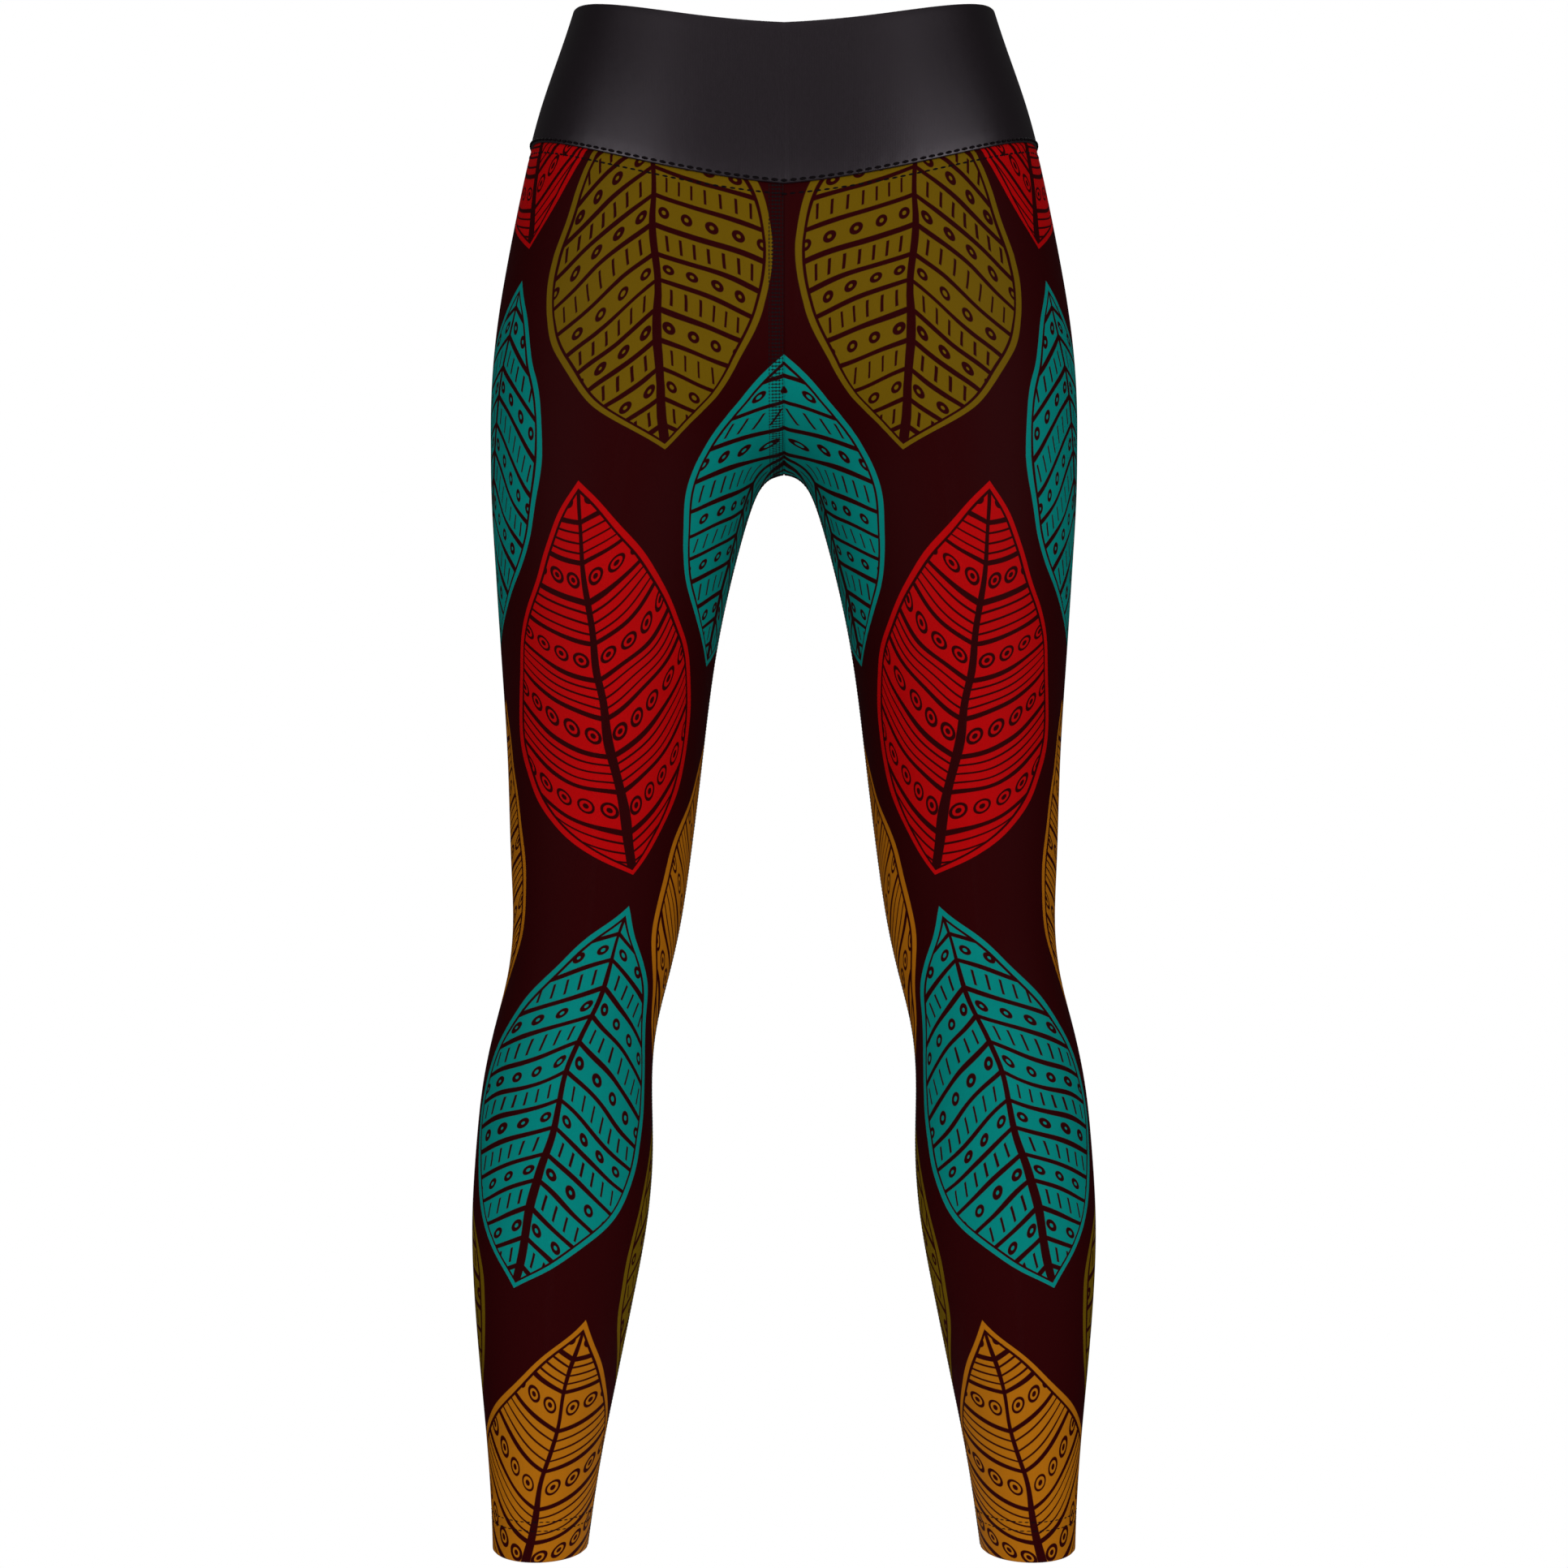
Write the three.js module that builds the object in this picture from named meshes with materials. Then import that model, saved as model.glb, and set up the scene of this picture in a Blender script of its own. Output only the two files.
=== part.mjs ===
// High-waisted leggings, worn and filled out with nobody in them: two one-piece legs that meet
// at the centre front and centre back seams, and a wide waistband of a front and a back piece.
// Millimetres, +Z up. The front faces -Y, and +X is the wearer's left.
// The origin is on the body's axis, halfway up the waistband, where the waist holds it.
import * as THREE from "three";

// Cloth and seams
const CLOTH = 1.5; // thickness of the knit as a wall
const BAND_WALL = 2.6; // the waistband is folded double
const HEM_WALL = 2.7; // the hem is turned up inside
const HEM_DEPTH = 26; // height of the turned-up hem
const HEM_STEP = 1; // height over which the hem's raw edge tapers off
const SEAM_GAP = 0.3; // space left between two pieces that are sewn together
const BAND_PROUD = 0.8; // the band stands this far outside the legs

// Heights
const HEM = -903.5;
const MID_THIGH = -420; // below it the rows are level
const BAND_SEAM = { side: -43.5, frontDrop: 42, backDrop: 12, point: 0.33 };
const BAND_TOP = { side: 38.5, frontDrop: 28.5, backDrop: -5, point: 0 };

// How finely the cloth is divided
const AROUND = 36; // steps from the front edge of a leg to its back edge
const LEVEL_ROWS = 17; // rows from the hem to the middle of the thigh
const THIGH_ROWS = 9; // rows from there to the crotch
const HIP_ROWS = 11; // rows from the crotch to the waistband
const CROWDING = 1.75; // how strongly the rows crowd together at the crotch
const BAND_AROUND = 26; // steps from one side seam of the band to the other
const BAND_ROWS = 4;
const OUTLINE_STEPS = 180; // points that find one level outline before it is divided evenly

// The wearer's left side at each height: an oval from inner to outer and from front to back,
// widest on the line y = axis and deepest on the line x = centre. Above the crotch the inner
// side lies past the middle, and the two ovals melt together over the blend distance.
const COLUMNS = ["z", "outer", "inner", "centre", "axis", "front", "back", "blend", "square"];
const SECTIONS = [
  [60, 121.8, -44, 45, -4, -87, 78, 83, 2.1],
  [20, 134.5, -46, 50, -3, -91, 85, 92, 2.1],
  [-20, 148.4, -47, 56, -1, -97, 95, 101, 2.1],
  [-60, 158.8, -46, 63, 1, -102, 106, 113, 2.1],
  [-105, 168.2, -43, 71, 3, -104.5, 116, 126, 2.1],
  [-150, 176, -34, 79, 4, -104, 122.5, 141, 2.08],
  [-190, 179.8, -20, 86, 4, -101.5, 122.8, 146, 2.05],
  [-215, 180.4, -6, 90.5, 3.5, -99.2, 119.3, 124, 2.03],
  [-228, 180.3, 2.2, 92.8, 3, -98, 116, 96, 2.02],
  [-241, 180.2, 10.7, 95, 2.5, -97, 112.5, 64, 2],
  [-265, 179.3, 21, 98.5, 1, -95.5, 106, 46, 2],
  [-290, 177.7, 28.2, 101.5, 0, -94, 100, 44, 2],
  [-345, 173.9, 40.4, 106.5, -3, -90.5, 88, 44, 2],
  [-415, 169.3, 49.8, 110, -5, -83.5, 75, 44, 2],
  [-485, 166.8, 58.4, 113, -7, -74, 62, 44, 2],
  [-520, 166, 63.9, 116, -7, -68.5, 54, 44, 2],
  [-550, 169.5, 70.7, 120.5, -6.5, -64.5, 50, 44, 2],
  [-580, 177.1, 78, 127, -5, -61, 52.5, 44, 2],
  [-615, 184.8, 81.3, 132.5, -1.5, -57, 60, 44, 2],
  [-655, 189.5, 81, 135.5, 2, -52, 66.5, 44, 2],
  [-700, 192.2, 84.3, 138, 4, -47.5, 67.5, 44, 2],
  [-750, 190.8, 93.3, 142, 5, -43.5, 60.5, 44, 2],
  [-800, 186.8, 103.5, 145, 6, -39, 52, 44, 2],
  [-850, 182.4, 113.4, 148, 6, -34, 45, 44, 2],
  [-902, 179.9, 121.2, 150.5, 6, -30.5, 41, 44, 2],
  [-930, 179.6, 125, 152, 6, -29.5, 40, 44, 2],
];

// A smooth curve through one column of the table: a cubic between each two rows, with one
// bend where they meet.
function smoothColumn(column) {
  const rows = [...SECTIONS].sort((a, b) => a[0] - b[0]);
  const z = rows.map((row) => row[0]);
  const value = rows.map((row) => row[COLUMNS.indexOf(column)]);
  const slope = (i) => (value[i + 1] - value[i]) / (z[i + 1] - z[i]);
  const bend = z.map(() => 0);
  const load = z.map(() => 0);
  for (let i = 1; i < z.length - 1; i++) {
    const share = (z[i] - z[i - 1]) / (z[i + 1] - z[i - 1]);
    const pivot = share * bend[i - 1] + 2;
    bend[i] = (share - 1) / pivot;
    const turn = (6 * (slope(i) - slope(i - 1))) / (z[i + 1] - z[i - 1]);
    load[i] = (turn - share * load[i - 1]) / pivot;
  }
  for (let i = z.length - 2; i > 0; i--) bend[i] = bend[i] * bend[i + 1] + load[i];
  return (at) => {
    let i = 0;
    while (i < z.length - 2 && z[i + 1] < at) i++;
    const span = z[i + 1] - z[i];
    const up = (at - z[i]) / span;
    const down = 1 - up;
    const sag = ((down ** 3 - down) * bend[i] + (up ** 3 - up) * bend[i + 1]) * (span ** 2 / 6);
    return down * value[i] + up * value[i + 1] + sag;
  };
}

const columnAt = Object.fromEntries(COLUMNS.slice(1).map((name) => [name, smoothColumn(name)]));

function sectionAt(z) {
  return Object.fromEntries(Object.entries(columnAt).map(([name, at]) => [name, at(z)]));
}

// How far a point lies outside one side's oval, measured from the oval's middle.
function outsideOval(section, x, y) {
  const across = x - section.centre;
  const along = y - section.axis;
  const halfWidth = across > 0 ? section.outer - section.centre : section.centre - section.inner;
  const halfDepth = along < 0 ? section.axis - section.front : section.back - section.axis;
  const power = section.square;
  const share =
    (Math.abs(across / halfWidth) ** power + Math.abs(along / halfDepth) ** power) ** (1 / power);
  return Math.hypot(across, along) * (1 - 1 / Math.max(share, 1e-6));
}

// The same for both sides together, melted into one body where they come close.
function outsideBody(section, x, y) {
  const near = outsideOval(section, x, y);
  const far = outsideOval(section, -x, y);
  const melt = Math.max(1 - Math.abs(near - far) / section.blend, 0);
  return Math.min(near, far) - (section.blend / 6) * melt ** 3;
}

// The distance along a line at which a rising function passes zero.
function crossing(rising, low, high) {
  for (let i = 0; i < 40; i++) {
    const middle = (low + high) / 2;
    if (rising(middle) < 0) low = middle;
    else high = middle;
  }
  return (low + high) / 2;
}

// The height at which the two sides part.
const CROTCH = crossing(
  (z) => {
    const section = sectionAt(z);
    return -outsideBody(section, SEAM_GAP / 2, section.axis);
  },
  -300,
  -180,
);

const outlines = new Map();

// The level outline of the left side at a height, from the front edge round the outside to the
// back edge, with the length along it. Below the crotch it starts and ends at the inseam.
function outlineAt(z) {
  if (outlines.has(z)) return outlines.get(z);
  const section = sectionAt(z);
  const edge = SEAM_GAP / 2;
  const reach = 2 * (section.outer + section.back - section.front);
  let [first, last] = [0, 2 * Math.PI];
  if (outsideBody(section, edge, section.axis) < 0) {
    const forward = crossing((d) => outsideBody(section, edge, section.axis - d), 0, reach);
    const backward = crossing((d) => outsideBody(section, edge, section.axis + d), 0, reach);
    first = Math.atan2(forward, section.centre - edge);
    last -= Math.atan2(backward, section.centre - edge);
  }
  const points = [];
  const lengths = [0];
  for (let i = 0; i <= OUTLINE_STEPS; i++) {
    const angle = first + ((last - first) * i) / OUTLINE_STEPS;
    const [goX, goY] = [-Math.cos(angle), -Math.sin(angle)];
    const toMiddle = goX < 0 ? (section.centre - edge) / -goX : reach;
    const far = crossing(
      (d) => outsideBody(section, section.centre + goX * d, section.axis + goY * d),
      1,
      Math.min(toMiddle, reach),
    );
    const x = Math.max(edge, section.centre + goX * far);
    points.push(new THREE.Vector3(x, section.axis + goY * far, z));
    if (i > 0) lengths.push(lengths[i - 1] + points[i].distanceTo(points[i - 1]));
  }
  const outline = { points, lengths };
  outlines.set(z, outline);
  return outline;
}

// The point on the cloth at a height, a share of the way from the front edge to the back edge.
function clothPoint(share, z) {
  const { points, lengths } = outlineAt(z);
  const target = share * lengths[OUTLINE_STEPS];
  const i = Math.max(
    1,
    lengths.findIndex((length) => length >= target - 1e-9),
  );
  const t = (target - lengths[i - 1]) / (lengths[i] - lengths[i - 1]);
  return points[i - 1].clone().lerp(points[i], t);
}

// The share at which the outline passes the outermost line, where the band's side seams are.
function sideShare(z) {
  const { points, lengths } = outlineAt(z);
  const widest = points.reduce((best, p, i) => (p.x > points[best].x ? i : best), 0);
  return lengths[widest] / lengths[OUTLINE_STEPS];
}

// The height of a waist line at a point: level at the sides, and dropping towards the centre
// front and back, partly to a point.
function lineHeight(line, point, z) {
  const towardsSide = Math.min(1, Math.abs(point.x) / columnAt.outer(z));
  const drop = point.y < columnAt.axis(z) ? line.frontDrop : line.backDrop;
  const round = 1 - towardsSide ** 2;
  const pointed = 1 - towardsSide;
  return line.side - drop * (round * (1 - line.point) + pointed * line.point);
}

// The point where a waist line crosses a share of the way round.
function linePoint(line, shareAt) {
  let z = line.side;
  for (let i = 0; i < 12; i++) z = lineHeight(line, clothPoint(shareAt(z), z), z);
  return clothPoint(shareAt(z), z);
}

// Rows of points on one leg, from the hem up. A share goes from the front edge to the back one.
// Near the crotch the rows crowd together at the inseam and spread evenly at the outside.
function legRows() {
  const shares = Array.from({ length: AROUND + 1 }, (_, i) => i / AROUND);
  const levels = [HEM, HEM + HEM_DEPTH - HEM_STEP, HEM + HEM_DEPTH];
  const first = HEM + HEM_DEPTH;
  for (let i = 1; i <= LEVEL_ROWS; i++)
    levels.push(first + ((MID_THIGH - first) * i) / LEVEL_ROWS);
  const rows = levels.map((z) => shares.map((share) => clothPoint(share, z)));
  const outward = (share) => Math.sin(Math.PI * share) ** 2;
  const spread = (t, share) => THREE.MathUtils.lerp(t ** CROWDING, t, outward(share));
  for (let i = 1; i <= THIGH_ROWS; i++) {
    const left = 1 - i / THIGH_ROWS;
    rows.push(
      shares.map((share) =>
        clothPoint(share, CROTCH - (CROTCH - MID_THIGH) * spread(left, share)),
      ),
    );
  }
  const tops = shares.map((share) => linePoint(BAND_SEAM, () => share).z);
  for (let i = 1; i <= HIP_ROWS; i++)
    rows.push(
      shares.map((share, k) =>
        clothPoint(share, CROTCH + (tops[k] - CROTCH) * spread(i / HIP_ROWS, share)),
      ),
    );
  return rows;
}

// Outward directions at every point of a grid. Where a row is a closed loop its ends are one
// point, and an edge on the middle plane has no sideways part, as the other side mirrors it.
function gridNormals(rows, closedRows, onMiddle) {
  const normals = rows.map((row) => row.map(() => new THREE.Vector3()));
  const last = rows[0].length - 1;
  for (let r = 0; r + 1 < rows.length; r++)
    for (let c = 0; c < last; c++) {
      const [a, b] = [rows[r][c], rows[r][c + 1]];
      const [d, e] = [rows[r + 1][c], rows[r + 1][c + 1]];
      const facing = e.clone().sub(a).cross(d.clone().sub(b));
      [normals[r][c], normals[r][c + 1], normals[r + 1][c], normals[r + 1][c + 1]].forEach((n) =>
        n.add(facing),
      );
    }
  normals.forEach((row, r) => {
    if (r < closedRows) {
      const joined = row[0].clone().add(row[last]);
      row[0] = joined;
      row[last] = joined.clone();
    }
    if (onMiddle && r >= closedRows - 1) {
      row[0].x = 0;
      row[last].x = 0;
    }
    row.forEach((n) => n.normalize());
  });
  return normals;
}

// A closed wall between an outer and an inner grid of points. The first rows may be loops,
// whose last point is their first one again. ridge, if given, is a row along the top between
// the two grids. Each four points are split along their shorter diagonal on both faces.
function wallGeometry(outer, inner, closedRows, ridge) {
  const positions = [];
  const index = [];
  const last = outer[0].length - 1;
  const add = (grid) =>
    grid.map((row, r) => {
      const ids = row.map((p, c) => {
        if (r < closedRows && c === last) return -1;
        positions.push(p.x, p.y, p.z);
        return positions.length / 3 - 1;
      });
      if (r < closedRows) ids[last] = ids[0];
      return ids;
    });
  const [out, inn] = [add(outer), add(inner)];
  const quad = (a, b, c, d, turned = false) => {
    const halves = turned ? [[a, b, d], [b, c, d]] : [[a, b, c], [a, c, d]];
    halves.filter((half) => new Set(half).size === 3).forEach((half) => index.push(...half));
  };
  const top = outer.length - 1;
  for (let r = 0; r < top; r++)
    for (let c = 0; c < last; c++) {
      const rising = outer[r][c].distanceTo(outer[r + 1][c + 1]);
      const turned = rising > outer[r][c + 1].distanceTo(outer[r + 1][c]);
      quad(out[r][c], out[r][c + 1], out[r + 1][c + 1], out[r + 1][c], turned);
      quad(inn[r][c + 1], inn[r][c], inn[r + 1][c], inn[r + 1][c + 1], turned);
    }
  for (let c = 0; c < last; c++) quad(inn[0][c], inn[0][c + 1], out[0][c + 1], out[0][c]);
  const between = ridge ? [out[top], add([ridge])[0], inn[top]] : [out[top], inn[top]];
  for (let i = 0; i + 1 < between.length; i++)
    for (let c = 0; c < last; c++)
      quad(between[i][c], between[i][c + 1], between[i + 1][c + 1], between[i + 1][c]);
  for (let r = Math.max(closedRows - 1, 0); r < top; r++) {
    quad(inn[r][0], out[r][0], out[r + 1][0], inn[r + 1][0]);
    quad(out[r][last], inn[r][last], inn[r + 1][last], out[r + 1][last]);
  }
  if (ridge) {
    index.push(inn[top][0], out[top][0], between[1][0]);
    index.push(out[top][last], inn[top][last], between[1][last]);
  }
  const geometry = new THREE.BufferGeometry();
  geometry.setAttribute("position", new THREE.Float32BufferAttribute(positions, 3));
  geometry.setIndex(index);
  return geometry;
}

function mirrored(geometry) {
  const copy = geometry.clone();
  copy.scale(-1, 1, 1);
  const index = copy.index.array;
  for (let i = 0; i < index.length; i += 3) [index[i], index[i + 1]] = [index[i + 1], index[i]];
  copy.computeVertexNormals();
  return copy;
}

// One leg: a tube from the hem to the crotch, open above it along the centre seams.
function legGeometry() {
  const outer = legRows();
  const closedRows = 3 + LEVEL_ROWS + THIGH_ROWS;
  const normals = gridNormals(outer, closedRows, true);
  const inner = outer.map((row, r) =>
    row.map((p, c) => p.clone().addScaledVector(normals[r][c], -(r < 2 ? HEM_WALL : CLOTH))),
  );
  const geometry = wallGeometry(outer, inner, closedRows);
  geometry.computeVertexNormals();
  return geometry;
}

// One piece of the waistband, from one side seam across the middle to the other. side is 1 for
// the front and -1 for the back.
function bandGeometry(side) {
  const half = BAND_AROUND / 2;
  const round = Array.from({ length: BAND_AROUND + 1 }, (_, i) => (i - half) / half);
  const shareOn = (u) => (z) =>
    side > 0 ? Math.abs(u) * sideShare(z) : 1 - Math.abs(u) * (1 - sideShare(z));
  const onBand = (u, t) => {
    const shareAt = shareOn(u);
    const low = linePoint(BAND_SEAM, shareAt).z + SEAM_GAP;
    const high = linePoint(BAND_TOP, shareAt).z;
    const z = THREE.MathUtils.lerp(low, high, t);
    const point = clothPoint(shareAt(z), z);
    if (u === 0) point.x = 0;
    point.x *= Math.sign(u) || 1;
    return point;
  };
  const rows = Array.from({ length: BAND_ROWS + 1 }, (_, r) =>
    round.map((u) => onBand(u * side, r / BAND_ROWS)),
  );
  const normals = gridNormals(rows, 0, false);
  const ends = [0, BAND_AROUND];
  const place = (r, c, out) => {
    const point = rows[r][c].clone().addScaledVector(normals[r][c], out);
    if (ends.includes(c)) point.y = rows[r][c].y - side * (SEAM_GAP / 2);
    return point;
  };
  const top = rows.length - 1;
  const grid = (out) => rows.map((row, r) => row.map((_, c) => place(r, c, out)));
  const outer = grid(BAND_PROUD);
  const inner = grid(BAND_PROUD - BAND_WALL);
  const ridge = rows[top].map((_, c) => place(top, c, BAND_PROUD - BAND_WALL / 2));
  ridge.forEach((p) => (p.z += BAND_WALL / 2));
  const geometry = wallGeometry(outer, inner, 0, ridge);
  geometry.computeVertexNormals();
  return geometry;
}

const printedKnit = new THREE.MeshStandardMaterial({ color: 0x2c0709, roughness: 0.6 });
const blackKnit = new THREE.MeshStandardMaterial({ color: 0x2a262a, roughness: 0.55 });

function piece(name, geometry, material) {
  const mesh = new THREE.Mesh(geometry, material);
  mesh.name = name;
  return mesh;
}

const leg = legGeometry();
const leggings = new THREE.Group();
leggings.add(
  piece("leg_left", leg, printedKnit),
  piece("leg_right", mirrored(leg), printedKnit),
  piece("waistband_front", bandGeometry(1), blackKnit),
  piece("waistband_back", bandGeometry(-1), blackKnit),
);

export default leggings;
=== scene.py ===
# %% [markdown]
# High-waisted leggings, a lesson in dressing a CAD frame
#
# The leggings are worn and filled out with nobody in them: two legs in a printed stretch jersey
# and a wide black waistband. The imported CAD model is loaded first. It fixes every size, and the
# cloth is then laid on it. Lengths in this script are millimetres until a mesh is made.

# %% Load the frame
import math

import bpy
import numpy as np
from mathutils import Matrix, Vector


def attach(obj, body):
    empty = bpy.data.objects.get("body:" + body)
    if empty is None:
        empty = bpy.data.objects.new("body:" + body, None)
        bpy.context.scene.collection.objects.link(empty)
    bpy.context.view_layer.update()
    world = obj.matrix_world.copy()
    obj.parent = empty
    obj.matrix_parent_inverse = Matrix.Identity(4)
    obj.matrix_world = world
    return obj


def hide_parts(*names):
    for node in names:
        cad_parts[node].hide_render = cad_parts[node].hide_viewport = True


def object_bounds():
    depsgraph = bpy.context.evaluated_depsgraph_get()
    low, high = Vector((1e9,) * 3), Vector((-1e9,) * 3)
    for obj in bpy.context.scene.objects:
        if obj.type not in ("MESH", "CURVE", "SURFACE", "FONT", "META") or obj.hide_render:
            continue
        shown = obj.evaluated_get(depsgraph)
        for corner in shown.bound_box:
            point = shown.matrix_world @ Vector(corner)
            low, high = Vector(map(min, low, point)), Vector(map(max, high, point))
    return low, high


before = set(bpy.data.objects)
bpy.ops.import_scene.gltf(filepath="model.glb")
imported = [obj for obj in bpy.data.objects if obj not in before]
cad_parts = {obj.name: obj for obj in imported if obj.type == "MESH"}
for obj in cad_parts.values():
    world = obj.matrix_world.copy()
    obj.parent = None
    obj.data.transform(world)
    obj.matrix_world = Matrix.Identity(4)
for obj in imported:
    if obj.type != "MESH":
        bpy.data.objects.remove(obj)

cad_box = [list(corner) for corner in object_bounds()]
MM = 0.001
print("CAD box in metres:", cad_box)

# %% [markdown]
# Helpers
#
# Light, cloth and stitches are all made with nodes, which two helpers add and join up. Two more
# add an object and a material.

# %% Helpers
def connect(node, values):
    """Link or set inputs of a node. A value is an output, a Wire or a plain value."""
    for name, value in values.items():
        value = getattr(value, "socket", value)
        if isinstance(value, bpy.types.NodeSocket):
            node.id_data.links.new(value, node.inputs[name])
        else:
            node.inputs[name].default_value = value
    return node


def add_node(tree, kind, values={}, **settings):
    node = tree.nodes.new(kind)
    for name, value in settings.items():
        setattr(node, name, value)
    return connect(node, values)


def add_object(name, data):
    thing = bpy.data.objects.new(name, data)
    bpy.context.collection.objects.link(thing)
    return thing


def new_material(name, look):
    """A material with its tree and its shader, whose inputs look gives."""
    paint = bpy.data.materials.new(name)
    paint.use_nodes = True
    tree = paint.node_tree
    return paint, tree, connect(tree.nodes["Principled BSDF"], look)


# %% [markdown]
# The camera
#
# The photograph looks straight at the front, level, from halfway up. The waist line and the hems
# curve only a little, so the lens is some way off. Its frame is square, and 966 mm of it show at
# the depth of the body's axis.

# %% Camera
VIEW_HEIGHT = 966
VIEW_DISTANCE = 1700
VIEW_CENTRE = -432  # height of the photograph's middle

lens =bpy.data.cameras.new("front_view")
lens.angle = 2 * math.atan(VIEW_HEIGHT / 2 / VIEW_DISTANCE)
camera = add_object("front_view", lens)
camera.location = (0, -VIEW_DISTANCE * MM, VIEW_CENTRE * MM)
camera.rotation_euler = (math.pi / 2, 0, 0)
bpy.context.scene.camera = camera
print("lens angle in degrees:", round(math.degrees(lens.angle), 2))

# %% [markdown]
# Soft studio light
#
# Two broad soft boxes stand left and right in front, and the waistband mirrors them on both sides
# of its middle. A low one lights the legs. It isn't mirrored, or the waistband would be pale down
# its middle. A faint one hangs above, and two more serve the back. The world is white, but lights
# the cloth little, and least from behind, because a cloth seen edge on mirrors what is behind it
# and its outline would turn pale. The floor is a pale round stand below the photograph's frame.

# %% Light and floor
FLOOR_DROP = 110  # from the hems down to the floor
FLOOR_RADIUS = 330
FLOOR_CORNERS = 96
SOFT_BOXES = {
    # name: place in millimetres, width, height, watts
    "box_left": ((-1860, -1600, 20), 2700, 1700, 23),
    "box_right": ((1860, -1600, 20), 2700, 1700, 26.5),
    "box_front": ((0, -2300, -950), 1500, 800, 23.5),
    "box_above": ((0, -1300, 1500), 1500, 700, 1.5),
    "box_behind": ((0, 1500, 1700), 1800, 1200, 34),
    "box_back": ((0, 2300, -600), 1500, 900, 26),
}
NOT_MIRRORED = ("box_front", "box_back")


def aim(thing, target):
    """Turn a light so that it looks at a point."""
    x, y, z = np.array(target) * MM - np.array(thing.location)
    turn = math.atan2(y, x) - math.pi / 2
    thing.rotation_euler = (math.atan2(math.hypot(x, y), -z), 0, turn)


def add_soft_box(name, place, width, height, watts):
    data = bpy.data.lights.new(name, "AREA")
    data.shape = "RECTANGLE"
    data.size, data.size_y = width * MM, height * MM
    data.energy = watts
    light = add_object(name, data)
    light.location = [value * MM for value in place]
    light.visible_glossy = name not in NOT_MIRRORED
    aim(light, (0, 0, VIEW_CENTRE))


def add_world(shown=1.0, front=0.07, back=0.03):
    """White for the camera, but a weaker light: front and back are its strengths there."""
    world = bpy.data.worlds.new("studio")
    world.use_nodes = True
    tree = world.node_tree
    direction = add_node(tree, "ShaderNodeTexCoord").outputs["Generated"]
    behind = add_node(tree, "ShaderNodeSeparateXYZ", {0: direction}).outputs["Y"]
    span = {"Value": behind, "From Min": -1, "From Max": 0.3, "To Min": front, "To Max": back}
    lighting = add_node(tree, "ShaderNodeMapRange", span).outputs["Result"]
    seen = add_node(tree, "ShaderNodeLightPath").outputs["Is Camera Ray"]
    strength = add_node(tree, "ShaderNodeMix", {"Factor": seen, "A": lighting, "B": shown})
    white = {"Color": (1, 1, 1, 1), "Strength": strength.outputs["Result"]}
    connect(tree.nodes["Background"], white)
    bpy.context.scene.world = world


def add_floor(level):
    turns = [2 * math.pi * i / FLOOR_CORNERS for i in range(FLOOR_CORNERS)]
    radius = FLOOR_RADIUS * MM
    rim = [(radius * math.cos(turn), radius * math.sin(turn), level) for turn in turns]
    mesh = bpy.data.meshes.new("floor")
    mesh.from_pydata(rim, [], [list(range(FLOOR_CORNERS))])
    pale = {"Base Color": (0.9, 0.9, 0.9, 1), "Roughness": 0.9}
    mesh.materials.append(new_material("pale_floor", pale)[0])
    add_object("floor", mesh)


for name, box in SOFT_BOXES.items():
    add_soft_box(name, *box)
add_world()
add_floor(cad_box[0][2] - FLOOR_DROP * MM)
bpy.context.scene.view_settings.view_transform = "Standard"
print(len(SOFT_BOXES), "soft boxes, a white world and a floor")

# %% [markdown]
# The body's shape
#
# The cloth follows one smooth surface, the same that the CAD is built on. Each side of the body
# is an oval at every height, given by a short table. Where the two ovals come close, at the hips
# and the crotch, they melt into one.

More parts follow.
